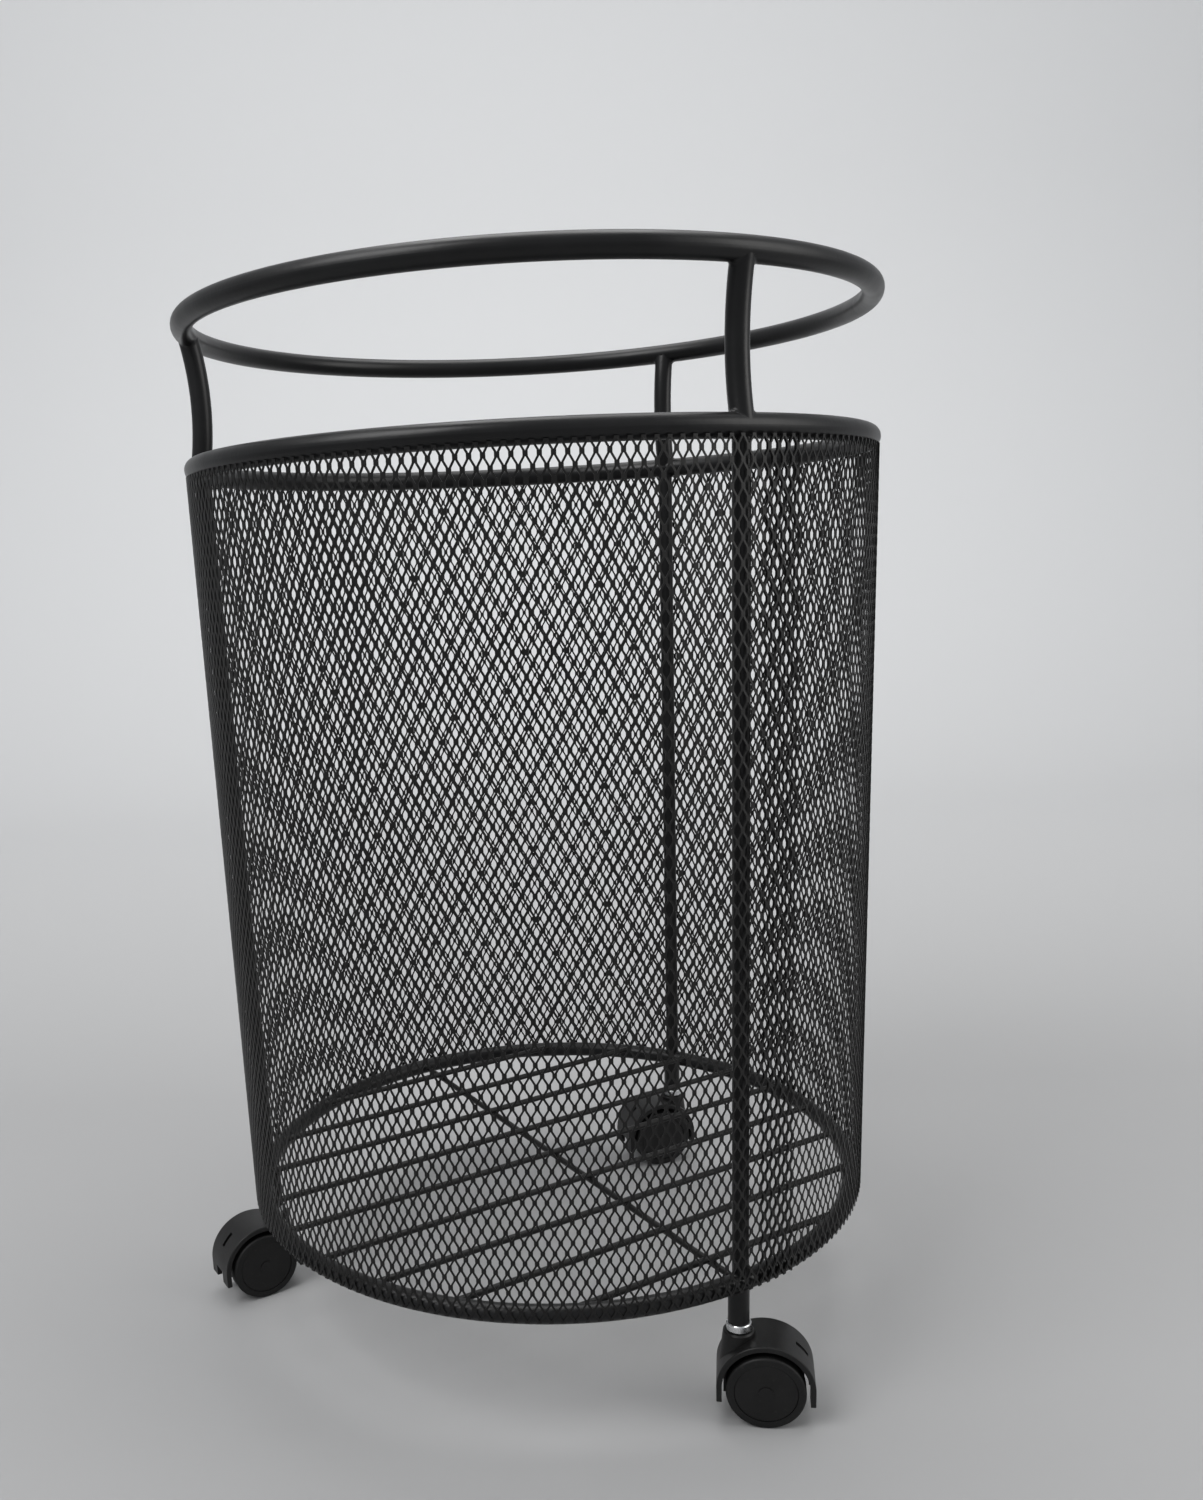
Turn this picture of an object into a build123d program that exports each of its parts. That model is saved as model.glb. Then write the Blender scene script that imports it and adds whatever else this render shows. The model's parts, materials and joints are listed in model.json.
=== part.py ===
from build123d import *

import os
from math import cos, radians, sin

# Rolling laundry basket: three tube rings, three legs, a round wall of expanded steel mesh, a
# wire floor and three twin-wheel swivel castors. Millimetres, +Z up, with the origin on the
# basket's axis at floor level.

# --- frame of round tube ---
TUBE_R = 6.0  # 12 mm round tube: the two upper rings and the feet
LEG_R = 5.85
RING_R = 194.0  # centreline radius of the top ring and the rim ring
TOP_Z = 606.0  # centreline height of the open top ring
RIM_Z = 530.0  # centreline height of the ring above the mesh
FLOOR_RING_R, FLOOR_TUBE_R = 193.3, 5.4
FLOOR_RING_Z = 82.0
POST_ANGLES = {"front": -58.8, "rear": 60.0, "left": 183.6}
LEG_BOW = 4.2  # how far each leg bows towards the axis between the two rings
POST_R = 193.0  # from the axis to an upright's centreline
POST_ROD_R = 4.6  # the slimmer upright inside the mesh
WELD_GAP = 0.02  # a coped end stops this short of the tube it is welded to
COPE_SIDE = 1.5  # and this far from the height of that tube's centre

# --- wire floor ---
WIRES_Z = 85.2  # centreline height of the parallel wires
WIRE_R = 2.0
WIRE_GAP = 0.1  # between wires that cross
WIRE_PITCH = 41.6
WIRE_SHIFT = 3.0  # the middle wire stands this far from the axis, towards the front foot
WIRES_EACH_SIDE = 4  # of the middle wire
CROSS_WIRE_Z = WIRES_Z - 2 * WIRE_R - WIRE_GAP
CROSS_ANGLE = POST_ANGLES["front"]  # the cross wire runs from the front foot over the axis

# --- mesh wall ---
MESH_R = 198.75  # inner radius: the mesh stands just under the rim ring's outer edge
MESH_SHEET_T = 0.5  # plain sheet that weighs the same as the expanded metal
MESH_TOP_Z = 526.2
MESH_BOTTOM_Z = 80.0  # it laps over the outside of the floor ring
SEAM_START, SEAM_SPAN = -56.5, 8.0  # degrees: where the ends of the mesh sheet overlap

# --- feet ---
FOOT_R = 191.5  # from the axis: the feet stand under the floor ring
FOOT_BOTTOM_Z = 57.5
FOOT_TOP_Z = CROSS_WIRE_Z - WIRE_R - WIRE_GAP
FOOT_BORE_R = 4.8
SOCKET_R = 4.75
SOCKET_FLANGE_T = 0.8
SOCKET_TOP_Z = 76.0
COLLAR_R, COLLAR_T, COLLAR_CHAMFER = 7.0, 4.6, 0.5

# --- castors: u runs from the stem to the axle, v along the axle ---
HEADINGS = {"front": -8.0, "rear": 198.0, "left": 212.0}  # way each castor trails at rest
TRAIL = 14.8
WHEEL_R = 22.0
WHEEL_INNER_V, WHEEL_OUTER_V = 5.7, 16.5
TREAD_ROUND = 1.6
HUB_R = 6.5
WHEEL_DISH_R, WHEEL_DISH_DEPTH = 18.0, 4.5
CAP_R, CAP_SEAT = 17.5, 1.8
CAP_T, CAP_ROUND = 1.4, 0.45
CAP_BUTTON_R, CAP_BUTTON_T = 4.0, 0.5
HOOD_R, HOOD_WALL = 27.2, 3.0
HOOD_Z = WHEEL_R + 1.0  # centre of the arch, a little above the axle
HOOD_HALF_V = 15.2
HOOD_ROUND = 0.9
SKIRT_Z = 14.5
SPINE_HALF_V = 5.3
SPINE_U = (-8.5, 27.0)
NOTCH_HALF_V, NOTCH_TOP_Z = 5.5, 22.0
SLOT_LENGTH, SLOT_WIDTH, SLOT_ANGLE = 10.0, 3.0, 42.0
BOSS_R, BOSS_FOOT_R, BOSS_CHAMFER = 8.6, 12.0, 0.8  # the boss widens downwards
THRUST_GAP = 0.3  # between the collar and the hood's boss
BOSS_TOP_Z = FOOT_BOTTOM_Z - SOCKET_FLANGE_T - COLLAR_T - THRUST_GAP
AXLE_R, AXLE_HALF = 2.5, 13.2
STEM_TOP_R, STEM_R = 3.75, 3.5
STEM_TOP_Z, STEM_BOTTOM_Z = 74.5, 27.0
STEM_CHAMFER = 0.8
GRIP_Z, GRIP_T, GRIP_R, GRIP_SPLIT = 70.0, 1.2, 4.0, 1.0
GROOVE_R = STEM_R - 0.4
RUNNING = 0.05  # radial clearance of a shaft that turns in its hole


def ring(radius, wire_r, z):
    """A round ring of round section about the basket's axis."""
    return Pos(0, 0, z) * Torus(radius, wire_r)


def disc(radius, z_low, z_high):
    """An upright cylinder between two heights."""
    return Pos(0, 0, (z_low + z_high) / 2) * Cylinder(radius, z_high - z_low)


def barrel(radius, v_low, v_high):
    """A cylinder about the castor's axle between two places along it."""
    centre = Pos(TRAIL, (v_low + v_high) / 2, WHEEL_R)
    return centre * Rot(90, 0, 0) * Cylinder(radius, v_high - v_low)


def polar(angle, radius):
    """The place at an angle and radius from the basket's axis, on the floor."""
    return Pos(radius * cos(radians(angle)), radius * sin(radians(angle)), 0)


def largest(shape):
    """The biggest solid that a cut leaves."""
    return max(shape.solids(), key=lambda solid: solid.volume)


def make_leg(angle):
    """A bowed tube, its ends coped to the two rings that it joins."""
    middle = (TOP_Z + RIM_Z) / 2
    path = Edge.make_three_point_arc(
        (RING_R, 0, RIM_Z), (RING_R - LEG_BOW, 0, middle), (RING_R, 0, TOP_Z)
    )
    start = Plane(origin=path @ 0, z_dir=path % 0)
    leg = sweep(start * Circle(LEG_R), path=path)
    length = TOP_Z - RIM_Z - 2 * COPE_SIDE
    leg &= Pos(RING_R, 0, middle) * Box(4 * TUBE_R, 4 * TUBE_R, length)
    for z in (TOP_Z, RIM_Z):
        leg -= ring(RING_R, TUBE_R + WELD_GAP, z)
    return Rot(0, 0, angle) * largest(leg)


def floor_cope():
    """What the floor ring cuts out of the rods that are welded to it."""
    return ring(FLOOR_RING_R, FLOOR_TUBE_R + WELD_GAP, FLOOR_RING_Z)


def make_post(angle):
    """An upright rod from the rim ring to the floor ring, coped at both ends."""
    rod = Pos(POST_R, 0, 0) * disc(POST_ROD_R, FLOOR_RING_Z + COPE_SIDE, RIM_Z - COPE_SIDE)
    rod -= ring(RING_R, TUBE_R + WELD_GAP, RIM_Z)
    return Rot(0, 0, angle) * largest(rod - floor_cope())


def make_mesh_wall():
    """The wall as one rolled sheet, with a second layer where its ends overlap."""
    height = MESH_TOP_Z - MESH_BOTTOM_Z
    wall = disc(MESH_R + MESH_SHEET_T, MESH_BOTTOM_Z, MESH_TOP_Z)
    wall -= disc(MESH_R, MESH_BOTTOM_Z, MESH_TOP_Z)
    seam = Cylinder(MESH_R + 2 * MESH_SHEET_T, height, arc_size=SEAM_SPAN)
    seam -= Cylinder(MESH_R + MESH_SHEET_T / 2, height)
    middle = (MESH_TOP_Z + MESH_BOTTOM_Z) / 2
    wall += Pos(0, 0, middle) * Rot(0, 0, SEAM_START) * seam
    return wall - ring(RING_R, TUBE_R + WELD_GAP, RIM_Z)


def make_grid_wires():
    """Parallel floor wires, each cut to fit inside the floor ring and round the uprights."""
    low, high = WIRES_Z - 2 * WIRE_R, WIRES_Z + 2 * WIRE_R
    upright = disc(POST_ROD_R + WELD_GAP, low, high)
    wires = []
    for i in range(-WIRES_EACH_SIDE, WIRES_EACH_SIDE + 1):
        offset = WIRE_SHIFT + i * WIRE_PITCH
        reach = (FLOOR_RING_R**2 - offset**2) ** 0.5
        wire = Pos(offset, 0, WIRES_Z) * Rot(90, 0, 0) * Cylinder(WIRE_R, 2 * reach)
        wire = largest(Rot(0, 0, CROSS_ANGLE) * wire - floor_cope())
        for angle in POST_ANGLES.values():
            wire = largest(wire - polar(angle, POST_R) * upright)
        wires.append(wire)
    return Compound(children=wires)


def make_cross_wire():
    """One wire under the others, across the floor ring from the front foot."""
    wire = Pos(0, 0, CROSS_WIRE_Z) * Rot(0, 90, 0) * Cylinder(WIRE_R, 2 * FLOOR_RING_R)
    return largest(Rot(0, 0, CROSS_ANGLE) * wire - floor_cope())


def make_foot(angle):
    """A short open tube, coped to the floor ring, that holds the castor's socket."""
    foot = disc(TUBE_R, FOOT_BOTTOM_Z, FOOT_TOP_Z) - disc(FOOT_BORE_R, FOOT_BOTTOM_Z, FOOT_TOP_Z)
    return largest(polar(angle, FOOT_R) * foot - floor_cope())


def make_socket():
    """A plastic insert with a flange, a bore for the stem and a groove for its grip ring."""
    low = FOOT_BOTTOM_Z - SOCKET_FLANGE_T
    socket = disc(SOCKET_R, low, SOCKET_TOP_Z) + disc(TUBE_R, low, FOOT_BOTTOM_Z - WELD_GAP)
    socket -= disc(STEM_TOP_R + RUNNING, low, STEM_TOP_Z + RUNNING)
    half = GRIP_T / 2 + RUNNING
    return socket - disc(GRIP_R + RUNNING, GRIP_Z - half, GRIP_Z + half)


def make_stem():
    """A turned steel pin: its top in the socket, its lower end in the hood."""
    shoulder = BOSS_TOP_Z + THRUST_GAP
    stem = disc(STEM_TOP_R, shoulder, STEM_TOP_Z) + disc(STEM_R, STEM_BOTTOM_Z, shoulder)
    stem = chamfer(stem.edges().group_by(Axis.Z)[-1], STEM_CHAMFER)
    stem = chamfer(stem.edges().group_by(Axis.Z)[0], STEM_CHAMFER)
    groove = disc(STEM_TOP_R, GRIP_Z - GRIP_T / 2, GRIP_Z + GRIP_T / 2)
    groove -= disc(GROOVE_R, GRIP_Z - GRIP_T / 2, GRIP_Z + GRIP_T / 2)
    return stem - groove


def make_grip_ring():
    """A split spring ring in the stem's groove."""
    half = GRIP_T / 2 - RUNNING
    grip = disc(GRIP_R, GRIP_Z - half, GRIP_Z + half)
    grip -= disc(GROOVE_R + RUNNING, GRIP_Z - half, GRIP_Z + half)
    return grip - Pos(GRIP_R, 0, GRIP_Z) * Box(2 * GRIP_R, GRIP_SPLIT, GRIP_T)


def make_collar():
    """The bright steel collar on the stem, between the foot and the hood."""
    low = BOSS_TOP_Z + THRUST_GAP
    collar = disc(COLLAR_R, low, low + COLLAR_T - WELD_GAP)
    collar = chamfer(collar.edges(), COLLAR_CHAMFER)
    return collar - disc(STEM_TOP_R + WELD_GAP, low, low + COLLAR_T)


def arch(radius, half_v, bottom_z):
    """A half-round top over the axle with straight sides down to bottom_z."""
    crown = Pos(TRAIL, 0, HOOD_Z) * Rot(90, 0, 0) * Cylinder(radius, 2 * half_v)
    sides = Pos(TRAIL, 0, (HOOD_Z + bottom_z) / 2)
    sides = sides * Box(2 * radius, 2 * half_v, HOOD_Z - bottom_z)
    below = Pos(TRAIL, 0, bottom_z - radius) * Box(4 * radius, 4 * half_v, 2 * radius)
    return crown + sides - below


def make_hood():
    """The castor's moulded cover: an arch over both wheels, a spine between them, a stem boss."""
    shell = arch(HOOD_R, HOOD_HALF_V, SKIRT_Z)
    rims = [e for f in shell.faces().filter_by(Axis.Y) for e in f.edges()]
    crown = [e for e in rims if e.bounding_box().max.Z > WHEEL_R]
    shell = fillet(crown, HOOD_ROUND)
    boss_middle = (HOOD_Z + BOSS_TOP_Z) / 2
    boss = Pos(0, 0, boss_middle) * Cone(BOSS_FOOT_R, BOSS_R, BOSS_TOP_Z - HOOD_Z)
    boss = chamfer(boss.edges().group_by(Axis.Z)[-1], BOSS_CHAMFER)
    chamber = arch(HOOD_R - HOOD_WALL, 2 * HOOD_HALF_V, SKIRT_Z - HOOD_WALL)
    hood = shell + boss - chamber
    low_u, high_u = SPINE_U
    block = Pos((low_u + high_u) / 2, 0, SKIRT_Z + HOOD_R)
    block = block * Box(high_u - low_u, 2 * SPINE_HALF_V, 2 * HOOD_R)
    hood += block & arch(HOOD_R - HOOD_WALL / 2, HOOD_HALF_V, SKIRT_Z)
    tail_u = TRAIL + HOOD_R
    notch_z = (SKIRT_Z + NOTCH_TOP_Z) / 2
    notch = Box(4 * HOOD_WALL, 2 * NOTCH_HALF_V, NOTCH_TOP_Z - SKIRT_Z)
    hood -= Pos(tail_u, 0, notch_z) * notch
    slot = Pos(HOOD_R, 0, 0) * Box(3 * HOOD_WALL, SLOT_WIDTH, SLOT_LENGTH)
    hood -= Pos(TRAIL, 0, HOOD_Z) * Rot(0, -SLOT_ANGLE, 0) * slot
    hood -= disc(STEM_R + RUNNING, STEM_BOTTOM_Z - STEM_CHAMFER, BOSS_TOP_Z)
    return hood - barrel(AXLE_R + WELD_GAP, -SPINE_HALF_V, SPINE_HALF_V)


def make_wheel():
    """One wheel: rounded tread, a dished inner side round the hub, a seat for the cap."""
    wheel = barrel(WHEEL_R, WHEEL_INNER_V, WHEEL_OUTER_V)
    wheel = fillet(wheel.edges().filter_by(GeomType.CIRCLE), TREAD_ROUND)
    dish_v = WHEEL_INNER_V + WHEEL_DISH_DEPTH
    dish = barrel(WHEEL_DISH_R, WHEEL_INNER_V, dish_v) - barrel(HUB_R, WHEEL_INNER_V, dish_v)
    wheel -= dish
    wheel -= barrel(CAP_R + RUNNING, WHEEL_OUTER_V - CAP_SEAT, WHEEL_OUTER_V)
    return wheel - barrel(AXLE_R + RUNNING, WHEEL_INNER_V, WHEEL_OUTER_V)


def make_cap():
    """The flat press-in cover of a wheel, with a low button over the axle's end."""
    seat = WHEEL_OUTER_V - CAP_SEAT + WELD_GAP
    cap = barrel(CAP_R, seat, seat + CAP_T)
    outer = cap.edges().filter_by(GeomType.CIRCLE).group_by(Axis.Y)[-1]
    cap = fillet(outer, CAP_ROUND)
    return cap + barrel(CAP_BUTTON_R, seat + CAP_T, seat + CAP_T + CAP_BUTTON_T)


def make_frame():
    """Every piece of the welded basket, by node name."""
    nodes = {
        "top_ring": ring(RING_R, TUBE_R, TOP_Z),
        "rim_ring": ring(RING_R, TUBE_R, RIM_Z),
        "floor_ring": ring(FLOOR_RING_R, FLOOR_TUBE_R, FLOOR_RING_Z),
        "grid_wires": make_grid_wires(),
        "grid_cross_wire": make_cross_wire(),
        "mesh_wall": make_mesh_wall(),
    }
    for name, angle in POST_ANGLES.items():
        nodes[f"leg_{name}"] = make_leg(angle)
        nodes[f"post_{name}"] = make_post(angle)
        nodes[f"foot_tube_{name}"] = make_foot(angle)
        nodes[f"castor_socket_{name}"] = polar(angle, FOOT_R) * make_socket()
    return nodes


def make_castor(name):
    """Every piece of one castor, by node name, turned to its heading at rest."""
    place = polar(POST_ANGLES[name], FOOT_R) * Rot(0, 0, HEADINGS[name])
    wheel = make_wheel()
    cap = make_cap()
    pieces = {
        "stem": make_stem(),
        "grip_ring": make_grip_ring(),
        "collar": make_collar(),
        "hood": make_hood(),
        "axle": barrel(AXLE_R, -AXLE_HALF, AXLE_HALF),
        "wheel_a": wheel,
        "wheel_cap_a": cap,
        "wheel_b": mirror(wheel, Plane.XZ),
        "wheel_cap_b": mirror(cap, Plane.XZ),
    }
    return {f"{piece}_{name}": place * shape for piece, shape in pieces.items()}


def main():
    os.makedirs("parts", exist_ok=True)
    nodes = make_frame()
    for name in POST_ANGLES:
        nodes |= make_castor(name)
    for name, shape in nodes.items():
        export_step(shape, os.path.join("parts", f"{name}.step"))


main()
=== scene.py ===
# A tall round laundry basket of black steel mesh on swivel castors. Metres, +Z up, in the frame of
# the CAD model: the basket's axis is the Z axis, and the floor is at z = 0.
import json
from math import atan2, cos, pi, radians, sin, tau

import bpy
import numpy as np
from mathutils import Matrix, Vector


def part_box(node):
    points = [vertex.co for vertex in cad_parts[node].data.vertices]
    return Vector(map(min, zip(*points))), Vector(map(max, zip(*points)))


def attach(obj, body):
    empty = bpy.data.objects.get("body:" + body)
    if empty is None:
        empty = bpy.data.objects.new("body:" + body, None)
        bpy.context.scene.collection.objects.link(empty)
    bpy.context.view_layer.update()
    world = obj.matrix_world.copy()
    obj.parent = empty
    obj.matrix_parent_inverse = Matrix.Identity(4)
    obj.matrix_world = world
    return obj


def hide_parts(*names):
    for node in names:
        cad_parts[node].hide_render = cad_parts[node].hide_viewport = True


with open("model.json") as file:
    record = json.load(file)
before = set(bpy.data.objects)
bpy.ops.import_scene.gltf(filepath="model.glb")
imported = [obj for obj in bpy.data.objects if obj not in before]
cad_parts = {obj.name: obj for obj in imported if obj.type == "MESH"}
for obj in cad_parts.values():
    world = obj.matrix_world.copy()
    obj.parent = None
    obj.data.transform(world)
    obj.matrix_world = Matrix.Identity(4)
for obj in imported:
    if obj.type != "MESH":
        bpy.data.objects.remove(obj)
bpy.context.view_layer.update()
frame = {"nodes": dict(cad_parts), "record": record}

MM = 0.001
NODES = frame["nodes"]
SIDES = ("front", "rear", "left")


# ---------------------------------------------------------------- places read from the frame
def centre(node):
    low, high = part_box(node)
    return (low + high) / 2


def tube_of_ring(node):
    """A round ring's centreline radius, wire radius and centreline height."""
    low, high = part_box(node)
    wire = (high.z - low.z) / 2
    return (high.x - low.x) / 2 - wire, wire, (high.z + low.z) / 2


TOP_RING = tube_of_ring("top_ring")
RIM_RING = tube_of_ring("rim_ring")
FLOOR_RING = tube_of_ring("floor_ring")
FOOT_PLACE = {side: centre(f"foot_tube_{side}") for side in SIDES}
AROUND = {side: atan2(place.y, place.x) for side, place in FOOT_PLACE.items()}
POST_PLACE = {side: centre(f"post_{side}") for side in SIDES}
WIRES_Z = centre("grid_wires").z
CROSS_WIRE_Z = centre("grid_cross_wire").z


# ---------------------------------------------------------------- mesh helpers
def new_object(name, vertices, faces, material, body="basket", smooth=False):
    """An object from plain lists, riding on a body."""
    mesh = bpy.data.meshes.new(name)
    mesh.from_pydata([tuple(v) for v in vertices], [], [tuple(f) for f in faces])
    mesh.validate()
    mesh.update()
    mesh.polygons.foreach_set("use_smooth", [smooth] * len(mesh.polygons))
    mesh.materials.append(material)
    piece = bpy.data.objects.new(name, mesh)
    bpy.context.scene.collection.objects.link(piece)
    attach(piece, body)
    return piece


# ---------------------------------------------------------------- materials
def base_material(name):
    material = bpy.data.materials.new(name)
    material.use_nodes = True
    nodes = material.node_tree.nodes
    return material, nodes, material.node_tree.links, nodes["Principled BSDF"]


def coordinates(nodes):
    return nodes.new("ShaderNodeTexCoord").outputs["Object"]


def noise(nodes, links, vector, scale, detail=3.0, roughness=0.55):
    """Noise of a given number of lumps to the metre."""
    node = nodes.new("ShaderNodeTexNoise")
    node.inputs["Scale"].default_value = scale
    node.inputs["Detail"].default_value = detail
    node.inputs["Roughness"].default_value = roughness
    links.new(vector, node.inputs["Vector"])
    return node.outputs["Fac"]


def spread(nodes, links, value, low, high, from_low=0.0, from_high=1.0):
    """value mapped from one range to another, held inside it."""
    node = nodes.new("ShaderNodeMapRange")
    node.inputs["From Min"].default_value = from_low
    node.inputs["From Max"].default_value = from_high
    node.inputs["To Min"].default_value = low
    node.inputs["To Max"].default_value = high
    links.new(value, node.inputs["Value"])
    return node.outputs["Result"]


def arithmetic(nodes, links, operation, first, second):
    node = nodes.new("ShaderNodeMath")
    node.operation = operation
    for socket, value in zip(node.inputs, (first, second)):
        if isinstance(value, (int, float)):
            socket.default_value = value
        else:
            links.new(value, socket)
    return node.outputs["Value"]


def blend_colours(nodes, links, amount, first, second):
    node = nodes.new("ShaderNodeMix")
    node.data_type = "RGBA"
    links.new(amount, node.inputs["Factor"])
    for socket, value in ((node.inputs["A"], first), (node.inputs["B"], second)):
        if isinstance(value, tuple):
            socket.default_value = (*value, 1.0)
        else:
            links.new(value, socket)
    return node.outputs["Result"]


def bump(nodes, links, height, distance, strength=1.0, normal=None):
    node = nodes.new("ShaderNodeBump")
    node.inputs["Distance"].default_value = distance
    node.inputs["Strength"].default_value = strength
    links.new(height, node.inputs["Height"])
    if normal:
        links.new(normal, node.inputs["Normal"])
    return node.outputs["Normal"]


def facing_up(nodes, links):
    """How far a surface faces up, from 0 to 1: where dust settles."""
    split = nodes.new("ShaderNodeSeparateXYZ")
    links.new(nodes.new("ShaderNodeNewGeometry").outputs["Normal"], split.inputs["Vector"])
    return spread(nodes, links, split.outputs["Z"], 0.0, 1.0, 0.35, 1.0)


def powder_coat(name, colour, dust_colour, dust, roughness, peel_scale, peel_depth):
    """Black powder coat: orange peel, uneven gloss, faint dust on what faces up."""
    material, nodes, links, bsdf = base_material(name)
    place = coordinates(nodes)
    cloud = noise(nodes, links, place, 24.0, 4.0)
    fine = noise(nodes, links, place, 900.0, 2.0)
    darker = tuple(0.72 * c for c in colour)
    lighter = tuple(1.35 * c for c in colour)
    tone = spread(nodes, links, cloud, 0.0, 1.0, 0.35, 0.68)
    coat = blend_colours(nodes, links, tone, darker, lighter)
    settled = arithmetic(nodes, links, "MULTIPLY", facing_up(nodes, links), dust)
    speckle = spread(nodes, links, fine, 0.35, 1.0, 0.35, 0.65)
    settled = arithmetic(nodes, links, "MULTIPLY", settled, speckle)
    links.new(blend_colours(nodes, links, settled, coat, dust_colour), bsdf.inputs["Base Color"])
    low, high = roughness
    gloss = spread(nodes, links, cloud, low, high, 0.3, 0.7)
    links.new(gloss, bsdf.inputs["Roughness"])
    peel = noise(nodes, links, place, peel_scale, 2.0, 0.45)
    normal = bump(nodes, links, peel, peel_depth)
    links.new(bump(nodes, links, fine, peel_depth / 5, 1.0, normal), bsdf.inputs["Normal"])
    bsdf.inputs["Specular IOR Level"].default_value = 0.3
    return material


def moulded(name, colour, scuff_and_sheen_colour, roughness, grain_scale, grain_depth, scuff_and_sheen_amount=0.25):
    """Moulded plastic with an etched grain, cloudy tone, and pale patches that are partly scuffs
    and partly a painted sheen.
    """
    material, nodes, links, bsdf = base_material(name)
    place = coordinates(nodes)
    cloud = noise(nodes, links, place, 60.0, 4.0)
    grain = noise(nodes, links, place, grain_scale, 3.0, 0.6)
    scuff_and_sheen_noise = noise(nodes, links, place, 420.0, 6.0, 0.75)
    darker = tuple(0.75 * c for c in colour)
    lighter = tuple(1.3 * c for c in colour)
    cloudy = spread(nodes, links, cloud, 0.0, 1.0, 0.35, 0.65)
    tone = blend_colours(nodes, links, cloudy, darker, lighter)
    # pale patches: partly real scuffs, partly a painted sheen on the plastic
    scuff_and_sheen_mask = spread(nodes, links, scuff_and_sheen_noise, 0.0, scuff_and_sheen_amount, 0.56, 0.78)
    links.new(blend_colours(nodes, links, scuff_and_sheen_mask, tone, scuff_and_sheen_colour), bsdf.inputs["Base Color"])
    low, high = roughness
    links.new(spread(nodes, links, cloud, low, high, 0.3, 0.7), bsdf.inputs["Roughness"])
    links.new(bump(nodes, links, grain, grain_depth), bsdf.inputs["Normal"])
    bsdf.inputs["Specular IOR Level"].default_value = 0.3
    return material


def plated(name, colour, roughness, streak_scale):
    """Zinc-plated steel, turned: fine rings along Z and a cloudy film."""
    material, nodes, links, bsdf = base_material(name)
    place = coordinates(nodes)
    cloud = noise(nodes, links, place, 300.0, 4.0)
    rings = nodes.new("ShaderNodeTexWave")
    rings.bands_direction = "Z"
    rings.inputs["Scale"].default_value = streak_scale
    rings.inputs["Distortion"].default_value = 0.6
    links.new(place, rings.inputs["Vector"])
    tone = spread(nodes, links, cloud, 0.0, 1.0, 0.35, 0.65)
    film = blend_colours(nodes, links, tone, tuple(0.8 * c for c in colour), colour)
    links.new(film, bsdf.inputs["Base Color"])
    bsdf.inputs["Metallic"].default_value = 1.0
    low, high = roughness
    links.new(spread(nodes, links, cloud, low, high, 0.3, 0.7), bsdf.inputs["Roughness"])
    links.new(bump(nodes, links, rings.outputs["Fac"], 0.01 * MM), bsdf.inputs["Normal"])
    return material


DUST = (0.12, 0.115, 0.108)
# pale colour for scuffs, also used to paint a sheen on the plastic parts
SCUFF_AND_SHEEN = (0.05, 0.048, 0.045)
MATERIALS = {
    "tube_coat": powder_coat(
        "tube_coat", (0.0052, 0.0052, 0.0056), DUST, 0.05, (0.3, 0.42), 420.0, 0.05 * MM
    ),
    "wire_coat": powder_coat(
        "wire_coat", (0.0048, 0.0046, 0.0045), DUST, 0.05, (0.36, 0.5), 520.0, 0.04 * MM
    ),
    "mesh_coat": powder_coat(
        "mesh_coat", (0.0052, 0.005, 0.0048), DUST, 0.05, (0.4, 0.54), 600.0, 0.03 * MM
    ),
    "hood_plastic": moulded(
        "hood_plastic", (0.0075, 0.0073, 0.0072), SCUFF_AND_SHEEN, (0.36, 0.5), 2200.0, 0.02 * MM
    ),
    "wheel_nylon": moulded(
        "wheel_nylon", (0.005, 0.005, 0.005), SCUFF_AND_SHEEN, (0.45, 0.62), 1500.0, 0.02 * MM, 0.5
    ),
    "cap_plastic": moulded(
        "cap_plastic", (0.0062, 0.006, 0.006), SCUFF_AND_SHEEN, (0.42, 0.56), 1800.0, 0.015 * MM
    ),
    "socket_plastic": moulded(
        "socket_plastic", (0.01, 0.01, 0.01), SCUFF_AND_SHEEN, (0.45, 0.6), 1800.0, 0.015 * MM
    ),
    "collar_steel": plated("collar_steel", (0.78, 0.79, 0.8), (0.2, 0.34), 900.0),
    "stem_steel": plated("stem_steel", (0.6, 0.61, 0.62), (0.3, 0.45), 900.0),
}


def finish_cad_nodes():
    """Every CAD node that shows gets the material of its slot in the record."""
    for entry in frame["record"]["subparts"]:
        node = NODES[entry["node"]]
        node.data.materials.clear()
        node.data.materials.append(MATERIALS[entry["material_slot"]])


# ---------------------------------------------------------------- expanded mesh wall
WALL_LOW, WALL_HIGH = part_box("mesh_wall")
CAD_SHEET_T = 0.5 * MM
WALL_R = WALL_HIGH.x - CAD_SHEET_T  # where the sheet's inner face is
SHEET_T = 0.5 * MM
STRAND_TILT = 0.12 * MM  # each strand's edges stand this far in and out of the sheet
CELLS_ROUND = 196
ROWS = 76  # rows of bonds, from the bottom edge to the top edge, less one
OPENING_W = 3.95 * MM
BOND_HALF = 1.25 * MM
SEAM_START = radians(-56.5)
SEAM_SPAN = radians(8.0)
CLIMB_FROM, CLIMB_TO = tau - radians(12.0), tau - radians(1.0)  # up to the overlap's second layer
PANELS = 3


def sheet_radius(angle):
    """The rolled sheet's radius: after a full turn it has climbed over its own start."""
    layer = SHEET_T + 4 * STRAND_TILT
    t = np.clip((angle - CLIMB_FROM) / (CLIMB_TO - CLIMB_FROM), 0.0, 1.0)
    return WALL_R + SHEET_T / 2 + STRAND_TILT + layer * t * t * (3 - 2 * t)


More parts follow.
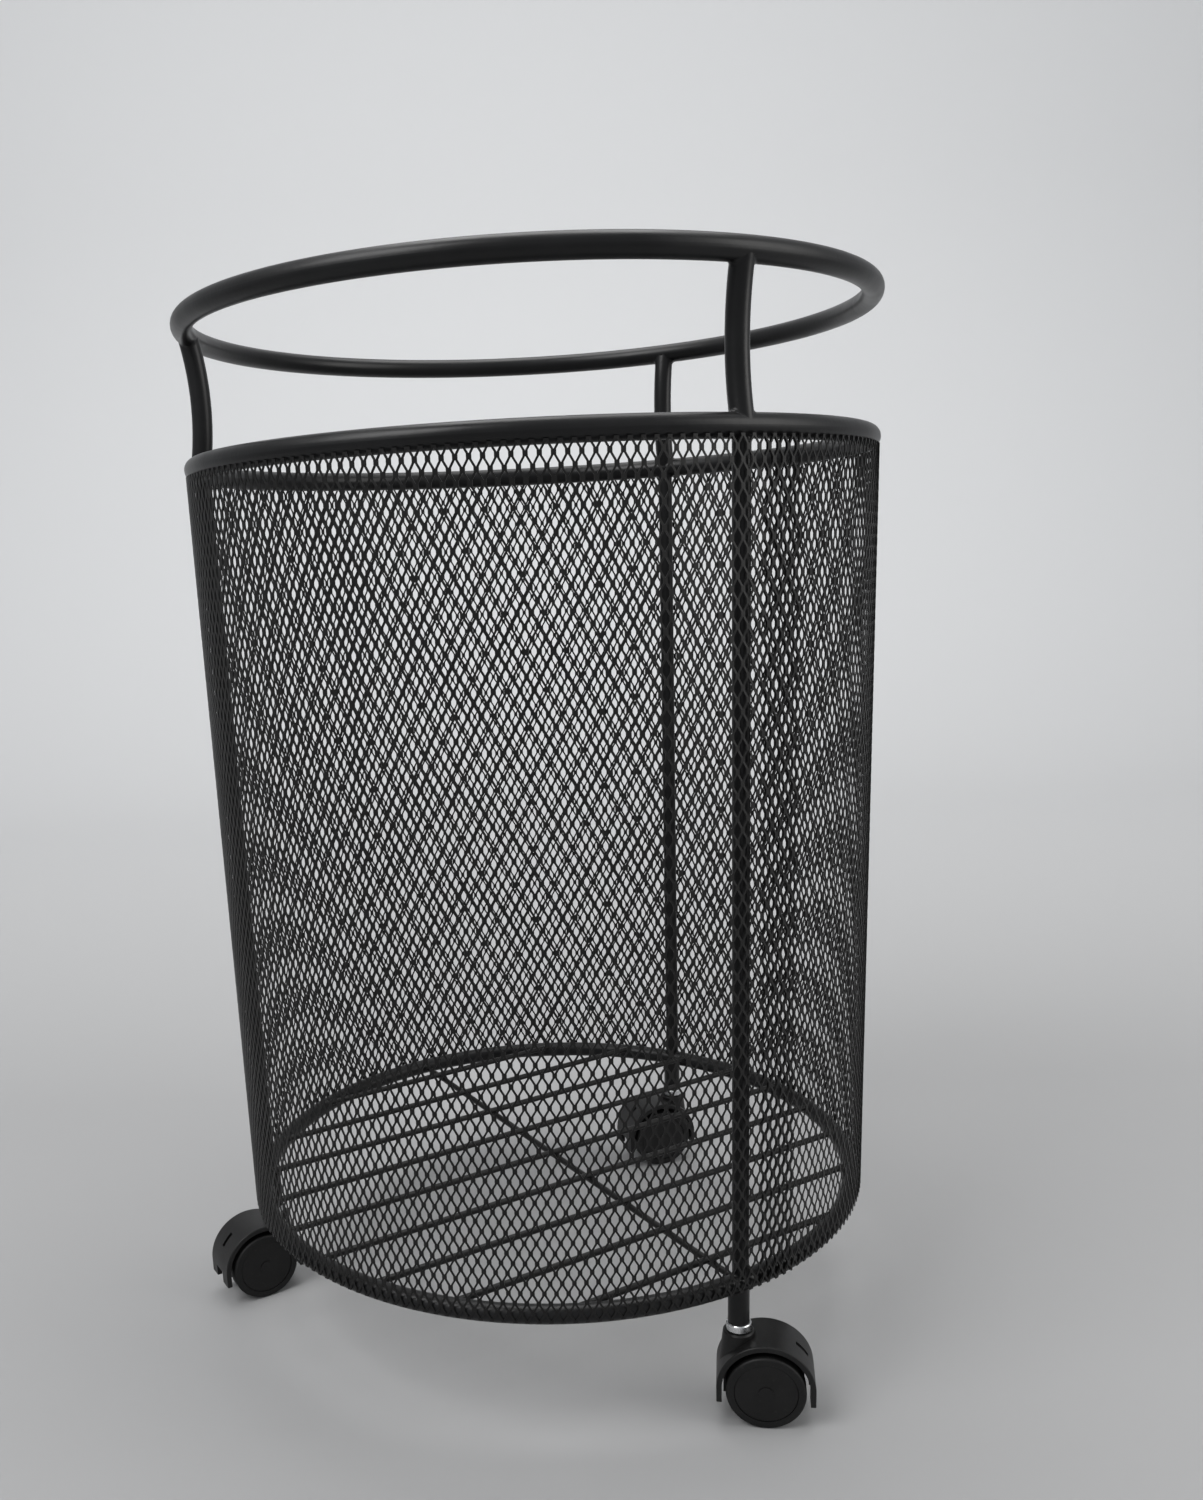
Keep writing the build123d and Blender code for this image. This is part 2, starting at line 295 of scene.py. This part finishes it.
def opening_corners():
    """The six corners of an opening about its centre: (across, up, out of the sheet)."""
    half_h = (WALL_HIGH.z - WALL_LOW.z) / ROWS - BOND_HALF
    half_w = OPENING_W / 2
    return {
        "top": (0.0, half_h, 0.0),
        "left_top": (-half_w, BOND_HALF, -STRAND_TILT),
        "left_low": (-half_w, -BOND_HALF, -STRAND_TILT),
        "low": (0.0, -half_h, 0.0),
        "right_low": (half_w, -BOND_HALF, STRAND_TILT),
        "right_top": (half_w, BOND_HALF, STRAND_TILT),
    }


def expanded_sheet(first, last):
    """Vertices and faces of the sheet between two columns of half cells.

    Bonds stand where column and row are both even or both odd, and openings at the other
    crossings. Each bond and each strand is one face between the corners of the openings
    round it, and every edge that is left open becomes a wall between the two sides.
    """
    names = list(opening_corners())
    corners = np.array([opening_corners()[n] for n in names])
    columns = np.arange(first - 1, last + 2)
    rows = np.arange(-1, ROWS + 2)
    row_h = (WALL_HIGH.z - WALL_LOW.z) / ROWS
    half_cell = tau / CELLS_ROUND / 2
    grid_c, grid_r = np.meshgrid(columns, rows, indexing="ij")

    def corner(column, row, name):
        cell = (column - columns[0]) * len(rows) + row - rows[0]
        return cell * len(names) + names.index(name)

    up = grid_r[..., None] * row_h + corners[:, 1]
    angle = grid_c[..., None] * half_cell + corners[:, 0] / WALL_R
    angle = np.clip(angle, first * half_cell, last * half_cell)
    up = np.clip(up, 0.0, ROWS * row_h) + WALL_LOW.z
    middle = sheet_radius(angle) + corners[:, 2]
    sides = []
    for offset in (SHEET_T / 2, -SHEET_T / 2):
        radius = middle + offset
        turned = angle + SEAM_START
        places = np.stack([radius * np.cos(turned), radius * np.sin(turned), up], -1)
        sides.append(places.reshape(-1, 3))
    faces = []
    for row in range(ROWS + 1):
        for column in range(first + (row + first) % 2, last + 1, 2):
            bond = [
                (column - 1, row, "right_low"),
                (column, row - 1, "top"),
                (column + 1, row, "left_low"),
                (column + 1, row, "left_top"),
                (column, row + 1, "low"),
                (column - 1, row, "right_top"),
            ]
            if column == first:
                bond = bond[1:5]
            elif column == last:
                bond = bond[:2] + bond[4:]
            faces.append([corner(*c) for c in bond])
            if row == ROWS:
                continue
            if column < last:
                strand = [
                    (column + 1, row, "left_top"),
                    (column + 1, row, "top"),
                    (column, row + 1, "right_low"),
                    (column, row + 1, "low"),
                ]
                faces.append([corner(*c) for c in strand])
            if column > first:
                strand = [
                    (column - 1, row, "right_top"),
                    (column, row + 1, "low"),
                    (column, row + 1, "left_low"),
                    (column - 1, row, "top"),
                ]
                faces.append([corner(*c) for c in strand])
    edges = {(a, b) for face in faces for a, b in zip(face, face[1:] + face[:1])}
    count = len(sides[0])
    walls = [(b, a, a + count, b + count) for a, b in edges if (b, a) not in edges]
    backs = [[v + count for v in reversed(face)] for face in faces]
    used = sorted({v for face in faces for v in face})
    used += [v + count for v in used]
    renumber = {old: new for new, old in enumerate(used)}
    vertices = np.concatenate(sides)[used]
    return vertices, [[renumber[v] for v in face] for face in faces + backs + sorted(walls)]


def make_mesh_wall():
    """The wall, in panels that meet near the posts, so that each one's file stays small."""
    half_cells = round((tau + SEAM_SPAN) / (tau / CELLS_ROUND) * 2)
    half_cells -= half_cells % 2
    cuts = [2 * round(half_cells * i / PANELS / 2) for i in range(PANELS + 1)]
    panels = []
    for i in range(PANELS):
        vertices, faces = expanded_sheet(cuts[i], cuts[i + 1])
        name = f"expanded_mesh_{'abc'[i]}"
        panels.append(new_object(name, vertices, faces, MATERIALS["mesh_coat"]))
    for panel in panels:
        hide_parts("mesh_wall")
    return panels


# ---------------------------------------------------------------- welds
LEG_R, LEG_BOW = 5.85 * MM, 4.2 * MM
POST_R = 4.6 * MM
WIRE_R = 2.0 * MM
WIRE_PITCH, WIRE_SHIFT = 41.6 * MM, 3.0 * MM
WIRES_EACH_SIDE = 4
FOOT_R = 6.0 * MM
UP = np.array((0.0, 0.0, 1.0))


def ray(angle):
    """The level direction at an angle round the basket's axis."""
    return np.array((cos(angle), sin(angle), 0.0))


def unit(vectors):
    return vectors / np.linalg.norm(vectors, axis=-1, keepdims=True)


def straight(point, direction, radius):
    """A straight rod: finds the nearest place on its centreline."""
    return lambda p: point + ((p - point) @ direction)[:, None] * direction, radius


def round_ring(middle, axis, ring_r, radius):
    """A rod bent to a circle: finds the nearest place on its centreline."""

    def nearest(p):
        flat = p - middle
        return middle + ring_r * unit(flat - (flat @ axis)[:, None] * axis)

    return nearest, radius


def level_ring(ring):
    ring_r, wire_r, height = ring
    return round_ring(height * UP, UP, ring_r, wire_r)


def weld(base, axis, rod_a, rod_b, size, along, favour=None):
    """The concave fillet left by a ball rolled round the joint of two rods.

    The ball touches both rods. At each turn about the axis its centre is found by Newton's
    method, and the arc between the two places where it touches is the weld's surface. The
    favoured direction, if there is one, keeps the weld to that side of the joint. Where no
    ball can touch both rods the weld stops.
    """
    steps, arc, rounds = 72, 7, 60
    sink, close_enough, least_area = 0.03 * MM, 0.01 * MM, 0.05
    (near_a, r_a), (near_b, r_b) = rod_a, rod_b
    level = np.cross(axis, UP if abs(axis[2]) < 0.9 else ray(0.0))
    first = unit(level)
    second = np.cross(axis, first)
    turn = np.linspace(0.0, tau, steps, endpoint=False)
    out = np.cos(turn)[:, None] * first + np.sin(turn)[:, None] * second
    ball = size * (1 + 0.08 * np.sin(9 * turn + 60 * base[0] / MM) + 0.05 * np.sin(14 * turn + 1.0))
    if favour is not None:
        ball = ball * np.clip(0.3 + 1.4 * (out @ favour), 0.05, 1.0)
    across = r_a + ball
    along = np.full(steps, along)
    for _ in range(rounds):
        middle = base + out * across[:, None] + axis * along[:, None]
        pull_a, pull_b = middle - near_a(middle), middle - near_b(middle)
        miss_a = np.linalg.norm(pull_a, axis=1) - r_a - ball
        miss_b = np.linalg.norm(pull_b, axis=1) - r_b - ball
        pull_a, pull_b = unit(pull_a), unit(pull_b)
        a_out, a_axis = (pull_a * out).sum(1), pull_a @ axis
        b_out, b_axis = (pull_b * out).sum(1), pull_b @ axis
        area = a_out * b_axis - a_axis * b_out
        area = np.where(np.abs(area) < least_area, np.copysign(least_area, area), area)
        across -= np.clip((miss_a * b_axis - miss_b * a_axis) / area, -MM, MM)
        along = along - np.clip((miss_b * a_out - miss_a * b_out) / area, -MM, MM)
    inward = unit(-pull_a - pull_b)
    rows = [middle + inward * (ball * 1.5 + sink)[:, None]]
    for k in range(arc):
        t = k / (arc - 1)
        rows.append(middle - unit(pull_a * (1 - t) + pull_b * t) * (ball + sink)[:, None])
    solved = np.abs(miss_a) + np.abs(miss_b) < close_enough
    closed = bool(solved.all())
    start = 0 if closed else next(i for i in range(steps) if solved[i] and not solved[i - 1])
    order = [i % steps for i in range(start, start + steps) if solved[i % steps]]
    vertices = np.stack(rows, 1)[order].reshape(-1, 3)
    count, sections = arc + 1, len(order)
    faces = []
    for i in range(sections if closed else sections - 1):
        for k in range(count):
            here, after = i * count, (i + 1) % sections * count
            faces.append((here + k, after + k, after + (k + 1) % count, here + (k + 1) % count))
    if not closed:
        faces.append(tuple(range(count)))
        faces.append(tuple(range(len(vertices) - 1, len(vertices) - 1 - count, -1)))
    corners = [vertices[list(face)] - vertices.mean(0) for face in faces]
    if sum(np.cross(c[1:-1], c[2:]).sum(0) @ c[0] for c in corners) < 0:
        faces = [face[::-1] for face in faces]
    return vertices, faces


def join_welds(name, welds, slot):
    vertices, faces = [], []
    for points, patches in welds:
        faces += [tuple(v + len(vertices) for v in face) for face in patches]
        vertices += list(points)
    new_object(name, vertices, faces, MATERIALS[slot], smooth=True)


def leg_welds():
    top_r, _, top_z = TOP_RING
    rim_z = RIM_RING[2]
    half, middle_z = (top_z - rim_z) / 2, (top_z + rim_z) / 2
    bend_r = (half**2 + LEG_BOW**2) / (2 * LEG_BOW)
    lean = LEG_BOW * 2 / half
    size = 2.3 * MM
    for angle in AROUND.values():
        out = ray(angle)
        side = np.cross(UP, out)
        bend = out * (top_r - LEG_BOW + bend_r) + middle_z * UP
        leg = round_ring(bend, side, bend_r, LEG_R)
        for ring, way in ((TOP_RING, -1.0), (RIM_RING, 1.0)):
            axis = unit(way * UP - lean * out)
            base = out * ring[0] + ring[2] * UP
            yield weld(base, axis, leg, level_ring(ring), size, ring[1] + size)


def post_welds():
    for side, angle in AROUND.items():
        place = np.array(POST_PLACE[side]) * (1, 1, 0)
        for ring, way, size in ((RIM_RING, -1.0, 1.8 * MM), (FLOOR_RING, 1.0, 1.6 * MM)):
            post = straight(place, UP, POST_R)
            base = place + ring[2] * UP
            yield weld(base, way * UP, post, level_ring(ring), size, ring[1] + size)


def wire_places():
    """Each floor wire's middle on the line of the cross wire, and half its length."""
    onward = ray(AROUND["front"])
    for i in range(-WIRES_EACH_SIDE, WIRES_EACH_SIDE + 1):
        offset = WIRE_SHIFT + i * WIRE_PITCH
        yield onward * offset, (FLOOR_RING[0] ** 2 - offset**2) ** 0.5


def floor_welds():
    """At both ends of every floor wire, and where the wires cross the one below them."""
    onward = ray(AROUND["front"])
    side = np.cross(UP, onward)
    size, nugget = 0.9 * MM, 0.7 * MM
    ring = level_ring(FLOOR_RING)
    start = FLOOR_RING[1] + size
    cross_wire = straight(CROSS_WIRE_Z * UP, onward, WIRE_R)
    for middle, reach in wire_places():
        wire = straight(middle + WIRES_Z * UP, side, WIRE_R)
        for way in (1.0, -1.0):
            base = middle + side * reach * way + WIRES_Z * UP
            yield weld(base, -side * way, wire, ring, size, start)
        touch = middle + (WIRES_Z + CROSS_WIRE_Z) / 2 * UP
        yield weld(touch, UP, cross_wire, wire, nugget, 0.0)
    for way in (1.0, -1.0):
        base = onward * FLOOR_RING[0] * way + CROSS_WIRE_Z * UP
        yield weld(base, -onward * way, cross_wire, ring, size, start)


def foot_welds():
    """Round the top of each foot, as far as the floor ring lies over it."""
    size = 1.5 * MM
    ring = level_ring(FLOOR_RING)
    for side, angle in AROUND.items():
        base = np.array(FOOT_PLACE[side]) * (1, 1, 0) + FLOOR_RING[2] * UP
        foot = straight(base, UP, FOOT_R)
        yield weld(base, -UP, foot, ring, size, FLOOR_RING[1] + size, ray(angle))


def make_welds():
    join_welds("welds_legs", leg_welds(), "tube_coat")
    join_welds("welds_posts", post_welds(), "tube_coat")
    join_welds("welds_floor", floor_welds(), "wire_coat")
    join_welds("welds_feet", foot_welds(), "tube_coat")


# ---------------------------------------------------------------- studio
def make_floor():
    """A plain pale floor that turns up into a plain, brighter backdrop."""
    half_w, front, back, bend, height = 6.0, -4.0, 1.6, 1.4, 6.0
    outline = [(front, 0.0), (back, 0.0)]
    turn = np.linspace(0.0, pi / 2, 25)[1:]
    outline += [(back + bend * sin(a), bend - bend * cos(a)) for a in turn]
    outline.append((back + bend, height))
    vertices = [(x, y, z) for y, z in outline for x in (-half_w, half_w)]
    faces = [(2 * i, 2 * i + 1, 2 * i + 3, 2 * i + 2) for i in range(len(outline) - 1)]
    material, nodes, links, bsdf = base_material("studio_floor")
    split = nodes.new("ShaderNodeSeparateXYZ")
    links.new(coordinates(nodes), split.inputs["Vector"])
    rise = spread(nodes, links, split.outputs["Y"], 0.0, 1.0, 0.3, back + bend)
    pale = blend_colours(nodes, links, rise, (0.34, 0.34, 0.342), (0.72, 0.725, 0.73))
    links.new(pale, bsdf.inputs["Base Color"])
    bsdf.inputs["Roughness"].default_value = 0.8
    bsdf.inputs["Specular IOR Level"].default_value = 0.2
    mesh = bpy.data.meshes.new("studio_floor")
    mesh.from_pydata(vertices, [], faces)
    mesh.polygons.foreach_set("use_smooth", [True] * len(faces))
    mesh.materials.append(material)
    floor = bpy.data.objects.new("studio_floor", mesh)
    bpy.context.scene.collection.objects.link(floor)


def soft_light(name, place, target, size, power, colour=(1.0, 1.0, 1.0)):
    lamp = bpy.data.lights.new(name, "AREA")
    lamp.shape = "RECTANGLE"
    lamp.size, lamp.size_y = size
    lamp.energy = power
    lamp.color = colour
    light = bpy.data.objects.new(name, lamp)
    light.location = place
    light.rotation_euler = (Vector(target) - Vector(place)).to_track_quat("-Z", "Y").to_euler()
    bpy.context.scene.collection.objects.link(light)


def make_lights():
    middle = (0.0, 0.0, 0.3)
    soft_light("key_softbox", (-1.5, -1.2, 2.4), middle, (1.5, 1.5), 46.0)
    soft_light("fill_softbox", (2.1, -0.6, 1.2), middle, (1.2, 1.8), 20.0, (1.0, 0.99, 0.97))
    soft_light("top_softbox", (0.1, 0.6, 2.6), middle, (1.6, 1.6), 26.0)
    soft_light("backdrop_softbox", (0.0, 0.4, 3.4), (0.0, 3.0, 1.2), (4.0, 1.2), 36.0)
    world = bpy.data.worlds.new("studio_world")
    world.use_nodes = True
    world.node_tree.nodes["Background"].inputs["Color"].default_value = (0.95, 0.97, 1.0, 1.0)
    world.node_tree.nodes["Background"].inputs["Strength"].default_value = 0.45
    bpy.context.scene.world = world


def make_camera():
    """The camera: turned slightly left, looking down a little, and rolled a little."""
    yaw, pitch, roll = -0.0422, -0.2515, -0.0473
    forward = Vector((sin(yaw) * cos(pitch), cos(yaw) * cos(pitch), sin(pitch)))
    level = Vector((cos(yaw), -sin(yaw), 0.0))
    up = level.cross(forward)
    right = cos(roll) * level + sin(roll) * up
    up = cos(roll) * up - sin(roll) * level
    camera = bpy.data.objects.new("camera", bpy.data.cameras.new("camera"))
    camera.matrix_world = Matrix((right, up, -forward)).transposed().to_4x4()
    camera.location = (0.0, -0.82194, 0.47868)
    camera.data.sensor_width = 36.0
    camera.data.lens = 31.72
    camera.data.shift_x = 0.0738
    camera.data.shift_y = 0.0938
    camera.data.clip_start = 0.02
    bpy.context.scene.collection.objects.link(camera)
    bpy.context.scene.camera = camera


bpy.context.scene.view_settings.view_transform = "Standard"
finish_cad_nodes()
make_mesh_wall()
make_welds()
make_floor()
make_lights()
make_camera()
